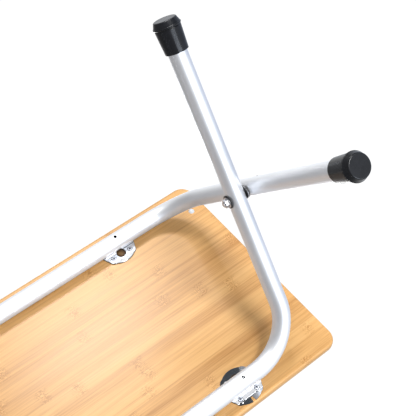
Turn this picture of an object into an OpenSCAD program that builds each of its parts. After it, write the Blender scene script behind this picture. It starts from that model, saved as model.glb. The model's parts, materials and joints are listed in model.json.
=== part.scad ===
// Folding tray table: a board on two crossed U-shaped tube frames.
// +Z is up, +X runs along the board, and the origin is on the floor under the middle of the board.
// The outer frame turns on its bar under the board. The inner frame's bar snaps out of its brackets,
// and the crossed legs then close flat under the board.

/* [Board] */
// Length of the board, end to end
board_l = 600; // [480:5:800]
// Width of the board, front to back
board_w = 350; // [290:5:430]
// Thickness of the board
board_t = 12; // [11:0.5:18]
// Corner radius of the board, seen from above
corner_r = 20; // [8:1:40]
// Radius of the board's rounded edges
edge_r = 4; // [1:0.5:5]

/* [Leg frames] */
// Outside diameter of the frame tube
tube_d = 25.4; // [21:0.1:32]
// Wall thickness of the frame tube
tube_wall = 1.5; // [1:0.1:2]
// Bend radius between bar and leg, on the tube's centre line
bend_r = 70; // [50:1:85]
// From a bar's centre line to the board's long edge
bar_inset = 31; // [28:0.5:50]
// Gap between a bar and the board
bar_gap = 3.3; // [3.3:0.1:6]
// From the outer leg's centre line to the board's short edge
leg_inset = 31.5; // [26:0.5:60]
// Angle between the legs and the board of the standing table
leg_angle = 52; // [45:1:58]
// Length of a leg, from its bar's centre line to the foot's end face
leg_l = 483; // [400:1:580]
// Angle between the outer legs and the board of the folded table
folded_angle = 4; // [4:0.5:10]

/* [Foot caps] */
// Length of a foot cap along the leg
cap_l = 42; // [25:1:60]
// Wall of a foot cap at its mouth
cap_wall = 2.6; // [1.5:0.1:3]
// How much thicker the cap's wall is under its ring than at its mouth
cap_flare = 1.9; // [0.5:0.1:2.2]
// Thickness of rubber under the tube's end
cap_floor = 6; // [4:0.5:10]
// How far the cap's ring stands out from the tube
cap_ring = 5.6; // [4.6:0.1:6.5]
// From the end face to the middle of the ring
cap_ring_up = 8.5; // [6:0.5:14]
// How far the end face's edge stands out from the tube
cap_face = 2.8; // [0.5:0.1:3.2]
// Radius of the end face's rounded edge
cap_round = 2; // [0.5:0.1:3]
// Radius of the ring's bead
bead_r = 1.5; // [1:0.1:2]

/* [Brackets] */
// From a bracket's centre to the board's short edge
bracket_inset = 155; // [135:1:180]
// Radius of a bracket disc
disc_r = 28; // [26:0.5:29]
// How far the disc's centre is set from the bar towards the middle of the table
disc_shift = 1; // [0:0.25:2]
// Thickness of the disc
disc_t = 2; // [1.5:0.1:2.2]
// Thickness of the stepped-down flange on the disc's outer side
flange_t = 0.9; // [0.6:0.1:1.2]
// From the disc's centre to the step of the flange
flange_step = 17.5; // [16:0.5:19]
// Height of the raised seat under the bar
seat_h = 2.9; // [2.4:0.1:3]
// Width of the raised seat
seat_w = 18; // [14:0.5:20]
// Chamfer of the disc's rim
rim_chamfer = 0.5; // [0.2:0.1:0.8]
// Radius of the round window on the disc's inner side
window_r = 7.3; // [5:0.1:7.5]
// From the disc's centre to the window's centre
window_y = 12.5; // [12:0.5:14]
// Width of the notch at the flange's edge
notch_w = 5.5; // [3:0.5:8]
// From the disc's centre to the bottom of the notch
notch_y = 20.5; // [19.5:0.5:24]
// Radius of the hole under the bar's centre line
centre_r = 3.4; // [3:0.1:3.8]
// Half the spacing of the bracket screws, along and across the bar
screw_off = 14.5; // [13.5:0.5:16]
// Radius of the disc's ears around the screws
ear_r = 8.8; // [8:0.1:9.5]
// Radius of the raised boss that the flange leaves around an outer screw
boss_r = 6; // [5:0.5:7]
// From the bar's centre line to the straight outer side of a pivot bracket
pivot_reach = 21.5; // [20.5:0.5:24]

/* [Bracket screws] */
// Shank radius of a bracket screw
screw_r = 1.8; // [1.4:0.1:2]
// Head radius of a bracket screw
screw_head_r = 4; // [3.4:0.1:4.4]
// Depth of the countersink
screw_sink = 1.2; // [0.8:0.1:1.4]
// Height of the head above the disc
screw_proud = 0.6; // [0.3:0.1:0.8]
// Depth of a screw in the board
screw_depth = 8.5; // [6:0.5:9]
// Width of a cross recess
recess_w = 1; // [0.5:0.1:1.2]
// Length of a cross recess
recess_l = 4; // [2.5:0.1:4.5]

/* [Pivot stud] */
// Thread radius of the stud in the board
stud_thread_r = 2; // [1.5:0.1:2.5]
// Radius of the stud's neck, which passes through the tube's slot
stud_neck_r = 2.6; // [2.2:0.1:2.8]
// Head radius of the stud
stud_head_r = 4.5; // [3.8:0.1:5]
// Head height of the stud
stud_head_h = 2.4; // [1.5:0.1:3]
// Thickness of the saddle in its middle
saddle_t = 2.2; // [2:0.1:3]
// Width of the saddle across the tube
saddle_w = 13; // [11:0.5:15]
// Length of the saddle along the tube
saddle_l = 14; // [10:0.5:20]
// Radius of the tool hole on the tube's underside
tool_hole_r = 2.4; // [2:0.1:3]

/* [Crossing] */
// Radius of the bolt at the crossing
bolt_r = 3; // [2.5:0.5:4]
// Head radius of the bolt
bolt_head_r = 6; // [5:0.5:8]
// Head height of the bolt
bolt_head_h = 3.5; // [2.5:0.1:5]
// Width of the nut across its flats
nut_af = 10; // [9:0.5:13]
// Height of the nut
nut_h = 5; // [4:0.1:7]
// How far the bolt stands out of the nut
bolt_end = 1.6; // [0.5:0.1:4]
// Radius of the black washers and bush flanges
liner_r = 9.3; // [8:0.1:11]
// Thickness of a black washer or bush flange
liner_t = 1; // [0.8:0.1:2]
// Radius of the steel washers
washer_r = 7.5; // [6:0.1:9]
// Thickness of a steel washer
washer_t = 0.8; // [0.6:0.1:1.5]
// Sleeve radius of a bush
bush_r = 4.5; // [4:0.1:6]
// Length of a bush's sleeve inside the tube
bush_l = 10; // [5:0.5:10]

/* [Latch spring] */
// Width of the leaf spring
leaf_w = 8; // [6:0.5:10]
// Thickness of the leaf spring
leaf_t = 0.8; // [0.5:0.1:1]
// From the latch button to the spring's bend
leaf_back = 22; // [15:1:40]
// From the latch button to the spring's free end
leaf_front = 8; // [5:1:15]
// Radius of the latch button
button_r = 3; // [2.4:0.1:3.1]
// How far the latch button stands out of the tube
button_out = 1.5; // [0.8:0.1:2]
// Radius of the spring's locating pin
pin_r = 1.4; // [1:0.1:1.8]

/* [Bumpers] */
// Radius of a bumper
bumper_r = 4.5; // [3:0.5:6]
// Height of a bumper
bumper_h = 2.6; // [1.5:0.1:3]
// From a bumper's centre to the board's short edge
bumper_x = 24; // [15:1:40]
// From a bumper's centre to the board's long edge
bumper_y = 48; // [40:1:60]

/* [Fits] */
// Radial clearance of a turning fit
run_fit = 0.05; // [0.02:0.01:0.1]
// Radial clearance between pieces that are fixed together
still_fit = 0.02; // [0.01:0.01:0.05]
// Clearance between pieces that slide past each other
slide_gap = 0.2; // [0.15:0.05:0.4]

/* [Hidden] */
$fn = 96;
tube_r = tube_d / 2;
bore_r = tube_r - tube_wall;
lean = 90 - leg_angle;
fold_travel = leg_angle - folded_angle;
bar_y = board_w / 2 - bar_inset;

// The washers, the sliding gap and the bush flange fill the space between crossed legs.
leg_gap = liner_t + washer_t + slide_gap + liner_t;
outer_x = board_l / 2 - leg_inset;
inner_x = outer_x - tube_d - leg_gap;

// The caps' rounded edges touch the floor.
cap_face_r = tube_r + cap_face;
bar_z = (leg_l - cap_round) * sin(leg_angle) + (cap_face_r - cap_round) * cos(leg_angle) + cap_round;
under_z = bar_z + tube_r + bar_gap;
cross_z = bar_z - bar_y * tan(leg_angle);

bracket_x = board_l / 2 - bracket_inset;
bar_depth = tube_r + bar_gap;
saddle_r = bore_r - run_fit;
saddle_flat = bar_depth - saddle_r + saddle_t;
slot_r = stud_neck_r + slide_gap;
leaf_out = sqrt(bore_r * bore_r - leaf_w * leaf_w / 4) - still_fit;

// ---------- places ----------

// A bracket's own frame: the board's underside is z = 0, +z points down to the floor and
// +y points to the nearest long edge. side is -1 at the pivot bar and 1 at the latch bar.
module at_bracket(end, side) {
  translate([end * bracket_x, side * bar_y, under_z])
    rotate([180, 0, side > 0 ? 180 : 0]) children();
}

// The frame of a bracket's disc, which is set off from the bar.
module at_disc(end, side) {
  at_bracket(end, side) translate([0, -disc_shift, 0]) children();
}

// A crossing's own frame: +z points along the bolt to the nearest end of the table.
module at_crossing(end) {
  translate([0, 0, cross_z]) rotate([0, end * 90, 0]) children();
}

// A frame's own frame: the bar lies on the x axis and the legs point down.
module at_outer_frame() {
  translate([0, -bar_y, bar_z]) rotate([lean, 0, 0]) children();
}

module at_inner_frame() {
  translate([0, bar_y, bar_z]) rotate([-lean, 0, 0]) children();
}

// ---------- board ----------

// The board's edge in section: x runs outwards and y is the height.
module edge_section() {
  square([corner_r - edge_r, board_t]);
  translate([0, edge_r]) square([corner_r, board_t - 2 * edge_r]);
  for (y = [edge_r, board_t - edge_r]) translate([corner_r - edge_r, y]) circle(r = edge_r);
}

// A straight stretch of edge, centred on the y axis and facing +x.
module edge_strip(length) {
  translate([0, length / 2, 0]) rotate([90, 0, 0]) linear_extrude(length) edge_section();
}

module board_blank() {
  core_l = board_l - 2 * corner_r;
  core_w = board_w - 2 * corner_r;
  translate([-core_l / 2, -core_w / 2, 0]) cube([core_l, core_w, board_t]);
  for (turn = [0, 180]) {
    rotate(turn) translate([core_l / 2, 0, 0]) edge_strip(core_w);
    rotate(turn + 90) translate([core_w / 2, 0, 0]) edge_strip(core_l);
    rotate(turn) translate([core_l / 2, core_w / 2, 0]) rotate_extrude(angle = 90) edge_section();
    rotate(turn) translate([-core_l / 2, core_w / 2, 0]) rotate(90) rotate_extrude(angle = 90) edge_section();
  }
}

module top_board() {
  color("burlywood") difference() {
    translate([0, 0, under_z]) board_blank();
    for (end = [-1, 1]) {
      for (side = [-1, 1]) at_disc(end, side) each_screw() pilot_hole(screw_r, screw_depth);
      at_bracket(end, -1) pilot_hole(stud_thread_r, screw_depth);
    }
  }
}

// A blind hole into the board, from its underside.
module pilot_hole(r, depth) {
  translate([0, 0, -depth - still_fit]) cylinder(r = r + still_fit, h = depth + 1);
}

// ---------- brackets ----------

// The four screw places of a bracket.
module each_screw() {
  for (x = [-screw_off, screw_off]) for (y = [-screw_off, screw_off]) translate([x, y, 0]) children();
}

// A plate with a chamfered rim.
module rimmed_plate(r) {
  rim = disc_t - rim_chamfer;
  cylinder(r = r, h = rim);
  translate([0, 0, rim]) cylinder(r1 = r, r2 = r - rim_chamfer, h = rim_chamfer);
}

module disc_blank() {
  rimmed_plate(disc_r);
  each_screw() rimmed_plate(ear_r);
}

// The step leaves the two bosses around the outer screws standing.
module flange_step_cut() {
  difference() {
    translate([-disc_r, flange_step, flange_t]) cube([2 * disc_r, disc_r, disc_t]);
    for (x = [-screw_off, screw_off]) translate([x, screw_off, 0]) cylinder(r = boss_r, h = 2 * disc_t);
  }
}

// The window, the notch and the countersunk screw holes.
module disc_openings() {
  mouth = notch_w / 2;
  translate([0, -window_y, -1]) cylinder(r = window_r, h = seat_h + 2);
  translate([0, 0, -1]) linear_extrude(seat_h + 2)
    polygon([[-mouth, disc_r + 1], [-mouth / 2, notch_y], [mouth / 2, notch_y], [mouth, disc_r + 1]]);
  each_screw() {
    translate([0, 0, -1]) cylinder(r = screw_r + still_fit, h = disc_t + 1);
    translate([0, 0, disc_t - screw_sink])
      cylinder(r1 = screw_r + still_fit, r2 = screw_head_r + still_fit, h = screw_sink);
    translate([0, 0, disc_t]) cylinder(r = screw_head_r + still_fit, h = seat_h);
  }
}

// The raised seat lies under the bar, with sloping ends.
module bar_seat() {
  edge_angle = asin((seat_w / 2 + disc_shift) / disc_r);
  seat_l = 2 * (disc_r - rim_chamfer) * cos(edge_angle);
  intersection() {
    translate([-seat_l / 2, -seat_w / 2, 0]) cube([seat_l, seat_w, seat_h]);
    cylinder(r1 = disc_r, r2 = disc_r - seat_h, h = seat_h);
  }
}

// A pivot bracket's outer side is cut off straight.
module outer_trim() {
  translate([-disc_r, pivot_reach, -1]) cube([2 * disc_r, disc_r, seat_h + 2]);
}

module bracket_disc(end, side) {
  color("gainsboro") difference() {
    union() {
      at_disc(end, side) difference() {
        disc_blank();
        flange_step_cut();
      }
      at_bracket(end, side) bar_seat();
    }
    at_disc(end, side) disc_openings();
    at_bracket(end, side) translate([0, 0, -1]) cylinder(r = centre_r, h = seat_h + 2);
    if (side < 0) at_bracket(end, side) outer_trim();
  }
}

module wood_screw() {
  difference() {
    union() {
      translate([0, 0, -screw_depth]) cylinder(r = screw_r, h = screw_depth + disc_t);
      translate([0, 0, disc_t - screw_sink]) cylinder(r1 = screw_r, r2 = screw_head_r, h = screw_sink);
      translate([0, 0, disc_t]) cylinder(r1 = screw_head_r, r2 = screw_head_r - screw_proud, h = screw_proud);
    }
    for (turn = [0, 90]) rotate(turn)
      translate([-recess_l / 2, -recess_w / 2, disc_t - screw_sink / 2])
        cube([recess_l, recess_w, screw_sink + screw_proud]);
  }
}

module bracket_screws(end, side) {
  color("silver") at_disc(end, side) each_screw() wood_screw();
}

// ---------- pivot ----------

// The stud's shoulder sits in the disc, its neck passes through the tube's slot and its head
// holds the saddle against the inside of the tube.
module pivot_stud(end) {
  color("silver") at_bracket(end, -1) difference() {
    union() {
      translate([0, 0, -screw_depth]) cylinder(r = stud_thread_r, h = screw_depth + 1);
      cylinder(r = centre_r - still_fit, h = seat_h);
      cylinder(r = stud_neck_r, h = saddle_flat + 1);
      translate([0, 0, saddle_flat]) cylinder(r = stud_head_r, h = stud_head_h);
    }
    for (turn = [0, 90]) rotate(turn)
      translate([-recess_l / 2, -recess_w / 2, saddle_flat + stud_head_h / 2])
        cube([recess_l, recess_w, stud_head_h]);
  }
}

module pivot_saddle(end) {
  color("ivory") at_bracket(end, -1) difference() {
    intersection() {
      translate([-saddle_l / 2, 0, bar_depth]) rotate([0, 90, 0]) cylinder(r = saddle_r, h = saddle_l);
      translate([-saddle_l, -saddle_w / 2, 0]) cube([2 * saddle_l, saddle_w, saddle_flat]);
    }
    cylinder(r = stud_neck_r + still_fit, h = saddle_flat + 1);
  }
}

// A slot around the tube, from the board's side to where the stud stands in the folded tube.
// It is drawn around the bar's own centre line.
module stud_slot() {
  spare = asin(slot_r / bore_r);
  rotate([0, 90, 0]) rotate([0, 0, 180 - fold_travel - spare])
    rotate_extrude(angle = fold_travel + 2 * spare)
      translate([bore_r - 1, -slot_r]) square([tube_wall + 2, 2 * slot_r]);
}

// ---------- frames ----------

// A bar with a leg at each end, as a round rod of radius r.
module bent_rod(half_span, r, leg_end) {
  straight = half_span - bend_r;
  rotate([0, 90, 0]) cylinder(r = r, h = 2 * straight, center = true);
  for (turn = [0, 180]) rotate(turn) {
    translate([straight, 0, -bend_r]) rotate([90, 0, 0])
      rotate_extrude(angle = 90) translate([bend_r, 0]) circle(r = r);
    translate([half_span, 0, -leg_end]) cylinder(r = r, h = leg_end - bend_r);
  }
}

module bent_tube(half_span) {
  tube_end = leg_l - cap_floor;
  difference() {
    bent_rod(half_span, tube_r, tube_end);
    bent_rod(half_span, bore_r, tube_end + 1);
  }
}

// A hole through the bar's wall on the side away from the board.
module tool_hole() {
  translate([0, 0, -tube_r - 1]) cylinder(r = tool_hole_r, h = tube_wall + 2);
}

module cross_drill(r) {
  translate([0, 0, cross_z]) rotate([0, 90, 0]) cylinder(r = r, h = board_l, center = true);
}

module outer_frame_tube() {
  color("whitesmoke") difference() {
    at_outer_frame() bent_tube(outer_x);
    cross_drill(bolt_r + still_fit);
    for (end = [-1, 1]) translate([end * bracket_x, -bar_y, bar_z]) {
      tool_hole();
      stud_slot();
    }
  }
}

module inner_frame_tube() {
  color("whitesmoke") difference() {
    at_inner_frame() bent_tube(inner_x);
    cross_drill(bush_r + still_fit);
    for (end = [-1, 1]) translate([end * bracket_x, bar_y, bar_z]) {
      tool_hole();
      translate([0, 0, bore_r - 1]) cylinder(r = button_r + slide_gap, h = tube_wall + 2);
    }
  }
}

// ---------- foot caps ----------

// A cap in section: x is the distance from the leg's centre line and y runs up the leg.
module cap_section() {
  mouth_r = tube_r + cap_wall;
  ring_r = tube_r + cap_ring;
  bead_x = ring_r - bead_r;
  difference() {
    union() {
      polygon([
        [0, 0], [cap_face_r - cap_round, 0], [cap_face_r, cap_round],
        [ring_r - bead_r / 2, cap_ring_up - bead_r], [bead_x, cap_ring_up + bead_r],
        [mouth_r + cap_flare, cap_ring_up + 2 * bead_r], [mouth_r, cap_l], [0, cap_l]
      ]);
      translate([cap_face_r - cap_round, cap_round]) circle(r = cap_round);
      translate([bead_x, cap_ring_up]) circle(r = bead_r);
    }
    translate([0, cap_floor]) square([tube_r + still_fit, cap_l]);
  }
}

module foot_cap(leg_x) {
  translate([leg_x, 0, -leg_l]) rotate_extrude() cap_section();
}

module outer_foot_cap(end) {
  color("dimgray") at_outer_frame() foot_cap(end * outer_x);
}

module inner_foot_cap(end) {
  color("dimgray") at_inner_frame() foot_cap(end * inner_x);
}

// ---------- crossing ----------

bolt_seat = outer_x + tube_r + liner_t;
gap_outer = outer_x - tube_r - liner_t;
nut_side = inner_x - tube_r - liner_t - slide_gap;
nut_seat = nut_side - washer_t;

// A flat ring between two distances from the table's middle.
module ring(low, high, outside_r, inside_r) {
  translate([0, 0, low]) difference() {
    cylinder(r = outside_r, h = high - low);
    translate([0, 0, -1]) cylinder(r = inside_r, h = high - low + 2);
  }
}

module cross_bolt(end) {
  shank_low = nut_seat - nut_h - bolt_end;
  dome_r = (bolt_head_r * bolt_head_r + bolt_head_h * bolt_head_h) / (2 * bolt_head_h);
  color("silver") at_crossing(end) {
    translate([0, 0, shank_low]) cylinder(r = bolt_r, h = bolt_seat - shank_low);
    intersection() {
      translate([0, 0, bolt_seat]) cylinder(r = bolt_head_r, h = bolt_head_h);
      translate([0, 0, bolt_seat + bolt_head_h - dome_r]) sphere(r = dome_r);
    }
  }
}

module cross_nut(end) {
  color("silver") at_crossing(end) translate([0, 0, nut_seat - nut_h]) difference() {
    cylinder(d = nut_af / cos(30), h = nut_h, $fn = 6);
    translate([0, 0, -1]) cylinder(r = bolt_r + still_fit, h = nut_h + 2);
  }
}

module nut_washer(end) {
  color("silver") at_crossing(end) ring(nut_seat, nut_side, washer_r, bolt_r + still_fit);
}

module gap_washer(end) {
  color("silver") at_crossing(end) ring(gap_outer - washer_t, gap_outer, liner_r, bolt_r + still_fit);
}

// The black washers on the outer leg: one under the bolt's head and one between the legs.
module outer_liners(end) {
  color("black") at_crossing(end) {
    ring(bolt_seat - liner_t, bolt_seat, liner_r, bolt_r + still_fit);
    ring(gap_outer, gap_outer + liner_t, liner_r, bolt_r + still_fit);
  }
}

// A flanged bush in each wall of the inner leg, which turns on the bolt.
module cross_bushes(end) {
  outer_face = inner_x + tube_r;
  inner_face = inner_x - tube_r;
  bore = bolt_r + run_fit;
  color("black") at_crossing(end) {
    ring(outer_face, outer_face + liner_t, liner_r, bore);
    ring(outer_face - bush_l, outer_face, bush_r, bore);
    ring(inner_face - liner_t, inner_face, liner_r, bore);
    ring(inner_face, inner_face + bush_l, bush_r, bore);
  }
}

// ---------- latch ----------

// A leaf spring folded into the latch bar. Its button snaps into the bracket's centre hole.
module latch_spring(end) {
  dome_z = tube_r + button_out - button_r;
  color("slategray") translate([end * bracket_x, bar_y, bar_z]) rotate(end > 0 ? 180 : 0) {
    for (z = [-leaf_out, leaf_out - leaf_t])
      translate([-leaf_back, -leaf_w / 2, z]) cube([leaf_back + leaf_front, leaf_w, leaf_t]);
    translate([-leaf_back, leaf_w / 2, 0]) rotate([90, 0, 0]) rotate([0, 0, 90])
      rotate_extrude(angle = 180) translate([leaf_out - leaf_t, 0]) square([leaf_t, leaf_w]);
    translate([0, 0, leaf_out - leaf_t]) cylinder(r = button_r, h = dome_z - leaf_out + leaf_t);
    translate([0, 0, dome_z]) sphere(r = button_r);
    translate([0, 0, -tube_r]) cylinder(r = pin_r, h = tube_r - leaf_out + leaf_t);
  }
}

// ---------- bumpers ----------

module bumper(end) {
  dome_r = (bumper_r * bumper_r + bumper_h * bumper_h) / (2 * bumper_h);
  color("aliceblue", 0.6) translate([end * (board_l / 2 - bumper_x), bumper_y - board_w / 2, under_z])
    rotate([180, 0, 0]) intersection() {
      cylinder(r = bumper_r, h = bumper_h);
      translate([0, 0, bumper_h - dome_r]) sphere(r = dome_r);
    }
}

top_board();
bracket_disc(-1, -1);  // pivot_bracket_left
bracket_disc(1, -1);  // pivot_bracket_right
bracket_disc(-1, 1);  // latch_bracket_left
bracket_disc(1, 1);  // latch_bracket_right
bracket_screws(-1, -1);  // pivot_bracket_screws_left
bracket_screws(1, -1);  // pivot_bracket_screws_right
bracket_screws(-1, 1);  // latch_bracket_screws_left
bracket_screws(1, 1);  // latch_bracket_screws_right
pivot_stud(-1);  // pivot_stud_left
pivot_stud(1);  // pivot_stud_right
pivot_saddle(-1);  // pivot_saddle_left
pivot_saddle(1);  // pivot_saddle_right
bumper(-1);  // bumper_left
bumper(1);  // bumper_right
outer_frame_tube();
outer_foot_cap(-1);  // outer_foot_cap_left
outer_foot_cap(1);  // outer_foot_cap_right
cross_bolt(-1);  // cross_bolt_left
cross_bolt(1);  // cross_bolt_right
cross_nut(-1);  // cross_nut_left
cross_nut(1);  // cross_nut_right
nut_washer(-1);  // nut_washer_left
nut_washer(1);  // nut_washer_right
gap_washer(-1);  // gap_washer_left
gap_washer(1);  // gap_washer_right
outer_liners(-1);  // outer_liners_left
outer_liners(1);  // outer_liners_right
inner_frame_tube();
inner_foot_cap(-1);  // inner_foot_cap_left
inner_foot_cap(1);  // inner_foot_cap_right
cross_bushes(-1);  // cross_bushes_left
cross_bushes(1);  // cross_bushes_right
latch_spring(-1);  // latch_spring_left
latch_spring(1);  // latch_spring_right
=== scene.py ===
"""Looks for the folding tray table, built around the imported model.

The table stands upright on its feet: +Z is up and +X runs along the board. The main camera looks up
at its underside from below, turned so that the feet point up in the picture.
"""

import json
import math

import bpy
from mathutils import Matrix, Vector


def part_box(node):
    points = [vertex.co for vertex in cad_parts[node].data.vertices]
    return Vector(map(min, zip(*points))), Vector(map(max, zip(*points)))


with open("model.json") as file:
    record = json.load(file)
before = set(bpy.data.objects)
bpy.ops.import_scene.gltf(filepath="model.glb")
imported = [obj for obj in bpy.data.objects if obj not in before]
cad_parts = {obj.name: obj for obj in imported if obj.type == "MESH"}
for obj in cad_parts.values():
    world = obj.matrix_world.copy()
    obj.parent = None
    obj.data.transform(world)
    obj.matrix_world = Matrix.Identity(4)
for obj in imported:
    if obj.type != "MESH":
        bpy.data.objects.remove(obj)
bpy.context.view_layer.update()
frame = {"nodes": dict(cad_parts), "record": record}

NODES = frame["nodes"]
BOARD_LOW, BOARD_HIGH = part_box("top_board")
UNDERSIDE = BOARD_LOW.z


def middle_of(node):
    low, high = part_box(node)
    return (low + high) / 2


# ---------- camera ----------

CAMERA_LENS_MM = 84.6
CAMERA_SENSOR_MM = 36.0
CAMERA_DISTANCE = 1.505
CAMERA_BELOW_DEG = 53.86
CAMERA_TURN_DEG = 132.97
CAMERA_ROLL_DEG = -4.19
AIM = Vector((BOARD_HIGH.x, 0.663 * BOARD_LOW.y, UNDERSIDE))


def unit(turn_deg, up_deg):
    """A unit vector from its turn around +Z, counted from +X, and its angle above the floor."""
    turn = math.radians(turn_deg)
    up = math.radians(up_deg)
    return Vector((math.cos(up) * math.cos(turn), math.cos(up) * math.sin(turn), math.sin(up)))


def add_camera():
    """The camera looks at AIM from below, with the picture's top towards the feet."""
    data = bpy.data.cameras.new("camera")
    data.lens = CAMERA_LENS_MM
    data.sensor_width = CAMERA_SENSOR_MM
    data.clip_start = 0.01
    camera = bpy.data.objects.new("camera", data)
    bpy.context.scene.collection.objects.link(camera)
    back = unit(CAMERA_TURN_DEG, -CAMERA_BELOW_DEG)
    feet = Vector((0, 0, -1))
    top = (feet - back * feet.dot(back)).normalized()
    top = Matrix.Rotation(math.radians(-CAMERA_ROLL_DEG), 3, back) @ top
    turned = Matrix((top.cross(back), top, back)).transposed().to_4x4()
    camera.matrix_world = Matrix.Translation(AIM + back * CAMERA_DISTANCE) @ turned
    bpy.context.scene.camera = camera


# ---------- node materials ----------


class Shader:
    """A node material, with short calls for the nodes that it is built from."""

    def __init__(self, name, **settings):
        self.material = bpy.data.materials.new(name)
        self.material.use_nodes = True
        self.tree = self.material.node_tree
        self.surface = self.tree.nodes["Principled BSDF"]
        for socket, value in settings.items():
            self.surface.inputs[socket.replace("_", " ")].default_value = value

    def node(self, kind, outlet=0, links=None, **settings):
        """Adds a node, sets it up, links or sets its inputs, and returns one of its outlets."""
        made = self.tree.nodes.new(kind)
        for key, value in settings.items():
            setattr(made, key, value)
        for socket, value in (links or {}).items():
            self.feed(made.inputs[socket], value)
        return made.outputs[outlet]

    def feed(self, socket, value):
        if isinstance(value, bpy.types.NodeSocket):
            self.tree.links.new(value, socket)
        else:
            socket.default_value = value

    def math(self, operation, a, b=0.0, c=0.0):
        return self.node("ShaderNodeMath", operation=operation, links={0: a, 1: b, 2: c})

    def place(self):
        """The point on the surface in the table's own frame, in metres."""
        return self.node("ShaderNodeTexCoord", outlet="Object")

    def split(self, point):
        """The three numbers of a vector."""
        made = self.tree.nodes.new("ShaderNodeSeparateXYZ")
        self.feed(made.inputs[0], point)
        return made.outputs

    def length(self, a, b):
        """The length of the flat vector (a, b)."""
        flat = self.node("ShaderNodeCombineXYZ", links={0: a, 1: b})
        return self.node("ShaderNodeVectorMath", operation="LENGTH", outlet="Value", links={0: flat})

    def stretch(self, point, scale):
        return self.node("ShaderNodeMapping", links={"Vector": point, "Scale": scale})

    def noise(self, point, detail=3.0, rough=0.5):
        links = {"Vector": point, "Scale": 1.0, "Detail": detail, "Roughness": rough}
        return self.node("ShaderNodeTexNoise", outlet="Fac", links=links)

    def ramp(self, fac, *stops):
        made = self.tree.nodes.new("ShaderNodeValToRGB")
        elements = made.color_ramp.elements
        while len(elements) < len(stops):
            elements.new(0.5)
        for element, (place, value) in zip(elements, stops):
            element.position = place
            element.color = value if isinstance(value, tuple) else (value, value, value, 1)
        self.feed(made.inputs["Fac"], fac)
        return made.outputs["Color"]

    def mix(self, fac, a, b, blend="MIX"):
        made = self.tree.nodes.new("ShaderNodeMix")
        made.data_type = "RGBA"
        made.blend_type = blend
        self.feed(made.inputs["Factor"], fac)
        self.feed(made.inputs[6], a)
        self.feed(made.inputs[7], b)
        return made.outputs[2]

    def remap(self, value, low, high, to_low=0.0, to_high=1.0):
        links = {"Value": value, "From Min": low, "From Max": high, "To Min": to_low, "To Max": to_high}
        return self.node("ShaderNodeMapRange", links=links)

    def bump(self, height, strength, distance):
        links = {"Height": height, "Strength": strength, "Distance": distance}
        self.feed(self.surface.inputs["Normal"], self.node("ShaderNodeBump", links=links))

    def colour(self, value):
        self.feed(self.surface.inputs["Base Color"], value)

    def roughness(self, value):
        self.feed(self.surface.inputs["Roughness"], value)


# Places on the table, in metres.
TUBE_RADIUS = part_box("outer_frame_tube")[1].x - middle_of("outer_foot_cap_right").x
INSIDE_WALL = 0.94 * TUBE_RADIUS
BRACKET = middle_of("latch_bracket_right")
BAR_Y = middle_of("latch_spring_right").y
BAR_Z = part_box("outer_frame_tube")[1].z - TUBE_RADIUS
BAR_LOW = BAR_Z - TUBE_RADIUS
BENDS_FROM = BRACKET.x + 0.02
TOOL_HOLE_RADIUS = 0.00245
PIN_DOT = 0.0009
PIN_END = 0.0003
WINDOW_RADIUS = 0.0073
WINDOW_TO_DISC = 0.0125
RECESS_FLOOR = 0.002
SKIN = 0.0005

# The bracket's outer band slopes down towards its flange, counted outwards from the bar.
SLOPE_START = 0.007
SLOPE_END = 0.0175
SLOPE_DROP = 0.002

BAMBOO_LIGHT = (0.80, 0.485, 0.200, 1)
BAMBOO_BASE = (0.685, 0.375, 0.130, 1)
BAMBOO_DARK = (0.45, 0.205, 0.055, 1)
BAMBOO_BOUNCED = (0.42, 0.385, 0.36, 1)
BEHIND_WINDOW = (0.035, 0.016, 0.006, 1)
BOUNCED_SHARE = 0.8
STRIP_WIDTH = 0.0205
KNOT_SPACING = 0.27
KNOT_LENGTH = 0.013
KNOT_SWAY = 0.02

# Added to a strip's number to draw its second random value.
SECOND_DRAW = 31.7

# How much each of these moves the wood's tone.
STRIP_TONE = 0.22
BROAD_TONE = 0.42
STREAK_TONE = 0.85
FIBRE_TONE = 0.45
KNOT_TONE = -0.27


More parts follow.
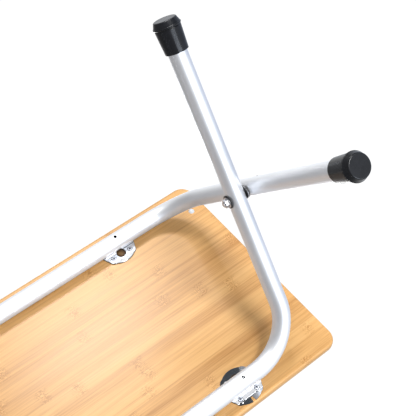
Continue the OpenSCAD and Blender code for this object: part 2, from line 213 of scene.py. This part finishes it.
def bamboo():
    """Pressed bamboo strips along X: each has its own tone, fine straight grain and knots."""
    s = Shader("bamboo", Roughness=0.3, Specular_IOR_Level=0.36)
    point = s.place()
    x, y, z = s.split(point)
    across = s.math("DIVIDE", y, STRIP_WIDTH)
    strip = s.math("FLOOR", across)
    chance = s.node("ShaderNodeTexWhiteNoise", noise_dimensions="1D", links={"W": strip})
    second = s.math("ADD", strip, SECOND_DRAW)
    other = s.node("ShaderNodeTexWhiteNoise", noise_dimensions="1D", links={"W": second})

    own = s.node("ShaderNodeCombineXYZ", links={0: s.math("MULTIPLY", chance, 3.0), 1: 0.0, 2: 0.0})
    moved = s.node("ShaderNodeVectorMath", operation="ADD", links={0: point, 1: own})
    streaks = s.noise(s.stretch(moved, (5, 260, 260)), detail=4, rough=0.6)
    fibres = s.noise(s.stretch(moved, (16, 1100, 1100)), detail=3, rough=0.55)
    broad = s.noise(s.stretch(point, (2.2, 26, 26)), detail=2)

    wave = s.noise(s.stretch(moved, (45, 110, 110)), detail=2)
    knot_x = s.math("MULTIPLY_ADD", other, KNOT_SPACING, x)
    knot_x = s.math("MULTIPLY_ADD", wave, KNOT_SWAY, knot_x)
    along = s.math("FRACT", s.math("DIVIDE", knot_x, KNOT_SPACING))
    from_knot = s.math("ABSOLUTE", s.math("SUBTRACT", along, 0.5))
    knot = s.remap(s.math("MULTIPLY", from_knot, KNOT_SPACING), KNOT_LENGTH, 0.2 * KNOT_LENGTH)
    loops = s.noise(s.stretch(moved, (60, 130, 130)), detail=2, rough=0.5)
    lines = s.remap(s.math("PINGPONG", s.math("MULTIPLY", loops, 11.0), 0.5), 0.1, 0.4, -0.35, 1.0)
    marks = s.math("MULTIPLY", knot, lines)

    tone = s.math("MULTIPLY_ADD", chance, STRIP_TONE, s.math("MULTIPLY", broad, BROAD_TONE))
    tone = s.math("MULTIPLY_ADD", s.math("SUBTRACT", streaks, 0.5), STREAK_TONE, tone)
    tone = s.math("MULTIPLY_ADD", s.math("SUBTRACT", fibres, 0.5), FIBRE_TONE, tone)
    tone = s.math("MULTIPLY_ADD", marks, KNOT_TONE, tone)
    wood = s.ramp(tone, (0.0, BAMBOO_DARK), (0.36, BAMBOO_BASE), (0.8, BAMBOO_LIGHT))

    seam = s.math("ABSOLUTE", s.math("SUBTRACT", s.math("FRACT", across), 0.5))
    seam_line = s.remap(seam, 0.47, 0.5)
    wood = s.mix(s.math("MULTIPLY", seam_line, 0.3), wood, BAMBOO_DARK)
    wood = s.mix(window_shade(s, x, y, z), wood, BEHIND_WINDOW)
    s.colour(s.mix(bounced(s), wood, BAMBOO_BOUNCED))
    s.roughness(s.remap(streaks, 0.3, 0.7, 0.29, 0.33))
    height = s.math("MULTIPLY_ADD", fibres, 0.4, s.math("MULTIPLY", streaks, 0.6))
    height = s.math("MULTIPLY_ADD", seam_line, -0.5, height)
    s.bump(height, 0.12, 0.0003)
    return s.material


def bounced(s):
    """Rays that come off another piece meet a greyer board, so that the tubes stay neutral."""
    glossy = s.node("ShaderNodeLightPath", outlet="Is Glossy Ray")
    diffuse = s.node("ShaderNodeLightPath", outlet="Is Diffuse Ray")
    return s.math("MULTIPLY", s.math("MAXIMUM", glossy, diffuse), BOUNCED_SHARE)


def window_shade(s, x, y, z):
    """1 in the deep shade on the board's underside, behind the round windows of the brackets."""
    from_x = s.math("SUBTRACT", s.math("ABSOLUTE", x), BRACKET.x)
    from_y = s.math("SUBTRACT", s.math("ABSOLUTE", y), BRACKET.y - WINDOW_TO_DISC)
    away = s.length(from_x, from_y)
    outside = s.remap(away, 1.35 * WINDOW_RADIUS, 1.2 * WINDOW_RADIUS)
    shade = s.math("MINIMUM", outside, s.remap(away, 0.2 * WINDOW_RADIUS, 0.9 * WINDOW_RADIUS, 0.66, 0.95))
    return s.math("MULTIPLY", shade, s.math("LESS_THAN", z, UNDERSIDE + SKIN))


def satin_tube():
    """Satin anodised aluminium: faint clouds in the gloss, a fine grain, and painted shade in the bore and
    the tool holes.
    """
    s = Shader("satin_tube", Metallic=1.0)
    point = s.place()
    clouds = s.noise(s.stretch(point, (9, 9, 9)), detail=3)
    grain = s.noise(s.stretch(point, (700, 700, 700)), detail=2)
    skin = s.ramp(clouds, (0.3, (0.86, 0.875, 0.90, 1)), (0.7, (0.91, 0.92, 0.94, 1)))
    in_a_hole = s.math("LESS_THAN", off_bracket(s, point), TOOL_HOLE_RADIUS)
    painted_hollow_shade = s.math("MAXIMUM", in_the_bore(s, point), in_a_hole)
    # Painted shade: the bore and the walls of the tool holes are near black.
    s.colour(s.mix(painted_hollow_shade, skin, (0.002, 0.002, 0.0023, 1)))
    s.roughness(s.remap(clouds, 0.3, 0.7, 0.44, 0.50))
    s.bump(grain, 0.06, 0.0002)
    return s.material


def in_the_bore(s, point):
    """1 on the inside of a bar, away from its bends."""
    x, y, z = s.split(point)
    from_y = s.math("SUBTRACT", s.math("ABSOLUTE", y), BAR_Y)
    from_z = s.math("SUBTRACT", z, BAR_Z)
    inside = s.math("LESS_THAN", s.length(from_y, from_z), INSIDE_WALL)
    return s.math("MULTIPLY", inside, s.math("LESS_THAN", s.math("ABSOLUTE", x), BENDS_FROM))


def off_bracket(s, point):
    """How far a point is, seen from above, from the nearest line down through a bar at a bracket."""
    x, y = s.split(point)[:2]
    from_x = s.math("SUBTRACT", s.math("ABSOLUTE", x), BRACKET.x)
    from_y = s.math("SUBTRACT", s.math("ABSOLUTE", y), BAR_Y)
    return s.length(from_x, from_y)


def latch_steel():
    """Blued spring steel, painted near black for the shade inside the bar, with a bright end on the locating
    pin.
    """
    s = Shader("spring_steel", Metallic=1.0, Roughness=0.32)
    point = s.place()
    patches = s.noise(s.stretch(point, (260, 260, 260)), detail=4, rough=0.6)
    # Partly the steel's own blued colour, partly painted shade: the body inside the bar is near black.
    blued_and_shaded = s.ramp(patches, (0.3, (0.003, 0.0032, 0.004, 1)), (0.7, (0.005, 0.0055, 0.0065, 1)))
    end = s.ramp(patches, (0.3, (0.52, 0.53, 0.55, 1)), (0.7, (0.66, 0.67, 0.69, 1)))
    lowest = s.math("LESS_THAN", s.split(point)[2], BAR_LOW + PIN_END)
    dot = s.math("MULTIPLY", lowest, s.math("LESS_THAN", off_bracket(s, point), PIN_DOT))
    s.colour(s.mix(dot, blued_and_shaded, end))
    return s.material


def metal(name, dark, light, rough):
    """Bright metal with small scratches and patches of handling."""
    s = Shader(name, Metallic=1.0)
    point = s.place()
    patches = s.noise(s.stretch(point, (120, 120, 120)), detail=4, rough=0.6)
    scratches = s.noise(s.stretch(point, (300, 2400, 900)), detail=2)
    s.colour(s.ramp(patches, (0.3, dark), (0.7, light)))
    s.roughness(s.remap(patches, 0.3, 0.7, 0.8 * rough, 1.3 * rough))
    s.bump(scratches, 0.15, 0.0001)
    return s.material


def bright_plate():
    """Bright stamped plate: flat faces are polished; the cut edges around them are painted dark as the
    shadow along the plate's rim.
    """
    s = Shader("bright_plate", Metallic=1.0)
    point = s.place()
    patches = s.noise(s.stretch(point, (150, 150, 150)), detail=4, rough=0.6)
    plate = s.ramp(patches, (0.3, (0.70, 0.71, 0.73, 1)), (0.7, (0.86, 0.87, 0.89, 1)))
    # Painted shade: the cut edges are near black, for the thin line of shadow at the plate's rim.
    s.colour(s.mix(flat_face(s), (0.08, 0.08, 0.085, 1), plate))
    s.roughness(s.remap(patches, 0.3, 0.7, 0.045, 0.06))
    outwards = s.math("SUBTRACT", s.math("ABSOLUTE", s.split(point)[1]), BAR_Y)
    s.bump(s.remap(outwards, SLOPE_START, SLOPE_END, 1.0, 0.0), 1.0, SLOPE_DROP)
    return s.material


def flat_face(s):
    """1 on faces that look straight up or down, 0 on the cut edges around them."""
    facing = s.math("ABSOLUTE", s.split(s.node("ShaderNodeTexCoord", outlet="Normal"))[2])
    return s.remap(facing, 0.6, 0.98)


def screw_steel():
    """Plated screws: bright heads, with painted shade on their edges and in the cross recess."""
    s = Shader("screw_steel", Metallic=1.0)
    point = s.place()
    patches = s.noise(s.stretch(point, (260, 260, 260)), detail=4, rough=0.6)
    head = s.ramp(patches, (0.3, (0.46, 0.46, 0.48, 1)), (0.7, (0.68, 0.68, 0.70, 1)))
    depth = s.math("SUBTRACT", UNDERSIDE, s.split(point)[2])
    raised = s.math("MULTIPLY", flat_face(s), s.math("GREATER_THAN", depth, RECESS_FLOOR))
    # Painted shade: the edges of the head and its cross recess are near black.
    s.colour(s.mix(raised, (0.035, 0.035, 0.038, 1), head))
    s.roughness(s.remap(patches, 0.3, 0.7, 0.2, 0.34))
    return s.material


def moulded(name, dark, light, rough, **settings):
    """Moulded rubber or plastic with a fine spark-eroded grain."""
    s = Shader(name, **settings)
    point = s.place()
    patches = s.noise(s.stretch(point, (60, 60, 60)), detail=4, rough=0.6)
    grain = s.noise(s.stretch(point, (1500, 1500, 1500)), detail=2)
    s.colour(s.ramp(patches, (0.3, dark), (0.7, light)))
    s.roughness(s.remap(patches, 0.3, 0.7, 0.85 * rough, 1.15 * rough))
    s.bump(grain, 0.12, 0.0002)
    return s.material


def milky_clear():
    """Soft clear silicone, a little milky."""
    s = Shader("clear_silicone", Transmission_Weight=0.25, IOR=1.41, Roughness=0.3)
    clouds = s.noise(s.stretch(s.place(), (400, 400, 400)), detail=3)
    s.colour(s.ramp(clouds, (0.3, (0.86, 0.90, 0.93, 1)), (0.7, (0.95, 0.97, 0.98, 1))))
    return s.material


MATERIALS = {
    "bamboo": bamboo(),
    "satin_tube": satin_tube(),
    "bright_plate": bright_plate(),
    "screw_steel": screw_steel(),
    "stainless": metal("stainless", (0.58, 0.58, 0.60, 1), (0.74, 0.74, 0.76, 1), 0.22),
    "spring_steel": latch_steel(),
    "black_rubber": moulded("black_rubber", (0.006, 0.0065, 0.008, 1), (0.012, 0.013, 0.016, 1), 0.25,
                            Specular_IOR_Level=0.3),
    "black_nylon": moulded("black_nylon", (0.012, 0.012, 0.013, 1), (0.022, 0.022, 0.023, 1), 0.5),
    "white_nylon": moulded("white_nylon", (0.74, 0.73, 0.68, 1), (0.82, 0.81, 0.77, 1), 0.45),
    "clear_silicone": milky_clear(),
}


def dress_nodes():
    """Each CAD node gets the material of its slot in the record."""
    slots = {row["node"]: row["material_slot"] for row in frame["record"]["subparts"]}
    for name, node in NODES.items():
        node.data.materials.clear()
        node.data.materials.append(MATERIALS[slots[name]])


# ---------- stage and light ----------

FLOOR_SIZE = 12.0


def add_floor():
    """A pale floor that is seen from above and lets the main camera look up through it."""
    s = Shader("floor", Roughness=0.8)
    clouds = s.noise(s.stretch(s.place(), (1.5, 1.5, 1.5)), detail=2)
    s.colour(s.ramp(clouds, (0.3, (0.80, 0.80, 0.80, 1)), (0.7, (0.84, 0.84, 0.84, 1))))
    behind = s.node("ShaderNodeNewGeometry", outlet="Backfacing")
    clear = s.node("ShaderNodeBsdfTransparent")
    both = s.node("ShaderNodeMixShader", links={0: behind, 1: s.surface.outputs[0], 2: clear})
    s.feed(s.tree.nodes["Material Output"].inputs["Surface"], both)
    bpy.ops.mesh.primitive_plane_add(size=FLOOR_SIZE)
    floor = bpy.context.object
    floor.name = "floor"
    floor.data.materials.append(s.material)
    floor.visible_shadow = False
    floor.visible_diffuse = False
    floor.visible_glossy = False


def add_softbox(name, target, direction, distance, size, watts, colour=(1, 1, 1)):
    """A rectangular soft light at a distance from its target, facing it: size is along X and across."""
    data = bpy.data.lights.new(name, "AREA")
    data.shape = "RECTANGLE"
    data.size, data.size_y = size
    data.energy = watts
    data.color = colour
    light = bpy.data.objects.new(name, data)
    bpy.context.scene.collection.objects.link(light)
    back = direction.normalized()
    side = (Vector((1, 0, 0)) - back * back.x).normalized()
    turned = Matrix((side, back.cross(side), back)).transposed().to_4x4()
    light.matrix_world = Matrix.Translation(target + back * distance) @ turned
    light.visible_camera = False


# What a ray finds in the studio, by the X part of its direction from -1 to 1.
STUDIO = (
    (0.0, (0.33, 0.33, 0.335, 1)),
    (0.3, (0.40, 0.40, 0.41, 1)),
    (0.5, (0.76, 0.77, 0.79, 1)),
    (0.62, (1.0, 1.0, 1.0, 1)),
    (0.82, (0.85, 0.90, 0.98, 1)),
    (1.0, (0.42, 0.48, 0.62, 1)),
)
STUDIO_FOR_DIFFUSE = 0.62
BACKDROP_STRENGTH = 1.05


def add_world():
    """White for the camera, and for other rays a studio that is bright across the table's width."""
    world = bpy.data.worlds.new("studio")
    world.use_nodes = True
    tree = world.node_tree
    new, link = tree.nodes.new, tree.links.new
    studio = tree.nodes["Background"]
    direction = new("ShaderNodeTexCoord").outputs["Generated"]
    split = new("ShaderNodeSeparateXYZ")
    link(direction, split.inputs[0])
    along = new("ShaderNodeMapRange")
    along.inputs["From Min"].default_value = -1.0
    link(split.outputs["X"], along.inputs["Value"])
    ramp = new("ShaderNodeValToRGB")
    elements = ramp.color_ramp.elements
    while len(elements) < len(STUDIO):
        elements.new(0.5)
    for element, (place, colour) in zip(elements, STUDIO):
        element.position = place
        element.color = colour
    link(along.outputs[0], ramp.inputs["Fac"])
    link(ramp.outputs["Color"], studio.inputs["Color"])
    path = new("ShaderNodeLightPath")
    strength = new("ShaderNodeMapRange")
    strength.inputs["To Min"].default_value = 1.0
    strength.inputs["To Max"].default_value = STUDIO_FOR_DIFFUSE
    link(path.outputs["Is Diffuse Ray"], strength.inputs["Value"])
    link(strength.outputs[0], studio.inputs["Strength"])
    white = new("ShaderNodeBackground")
    white.inputs["Color"].default_value = (1, 1, 1, 1)
    white.inputs["Strength"].default_value = BACKDROP_STRENGTH
    seen = new("ShaderNodeMixShader")
    link(path.outputs["Is Camera Ray"], seen.inputs[0])
    link(studio.outputs[0], seen.inputs[1])
    link(white.outputs[0], seen.inputs[2])
    link(seen.outputs[0], tree.nodes["World Output"].inputs["Surface"])
    bpy.context.scene.world = world


def add_lights():
    """Two long softboxes under the table, a cool one beside it for the caps, and one above the board."""
    middle = Vector((0.1, 0, UNDERSIDE))
    add_softbox("key", middle, Vector((0.23, -0.51, -1.0)), 1.62, (0.50, 0.18), 13)
    add_softbox("fill", middle, Vector((0.25, 0.43, -1.0)), 1.62, (0.46, 0.24), 12)
    add_softbox("side", middle, Vector((0.15, 0.85, -0.45)), 1.6, (0.9, 0.3), 9, (0.80, 0.88, 1.0))
    add_softbox("top", middle, unit(-60, 60), 2.0, (1.2, 1.2), 30)


CARD_SIZE = 0.26
CARD_DISTANCE = 0.6


def add_dark_card():
    """A dark card under the latch bar, which only reflections see: it gives the bright brackets contrast."""
    towards = Vector((0.332, -0.288, -0.898))
    s = Shader("dark_card", Roughness=0.9)
    shade = s.noise(s.stretch(s.place(), (3, 3, 3)), detail=2)
    s.colour(s.ramp(shade, (0.3, (0.055, 0.064, 0.072, 1)), (0.7, (0.08, 0.092, 0.10, 1))))
    bpy.ops.mesh.primitive_plane_add(size=CARD_SIZE)
    card = bpy.context.object
    card.name = "dark_card"
    card.location = BRACKET + towards * CARD_DISTANCE
    card.rotation_euler = towards.to_track_quat("Z", "Y").to_euler()
    card.data.materials.append(s.material)
    card.visible_camera = False
    card.visible_diffuse = False
    card.visible_shadow = False
    card.visible_transmission = False


bpy.context.scene.view_settings.view_transform = "Standard"
add_camera()
dress_nodes()
add_floor()
add_world()
add_lights()
add_dark_card()
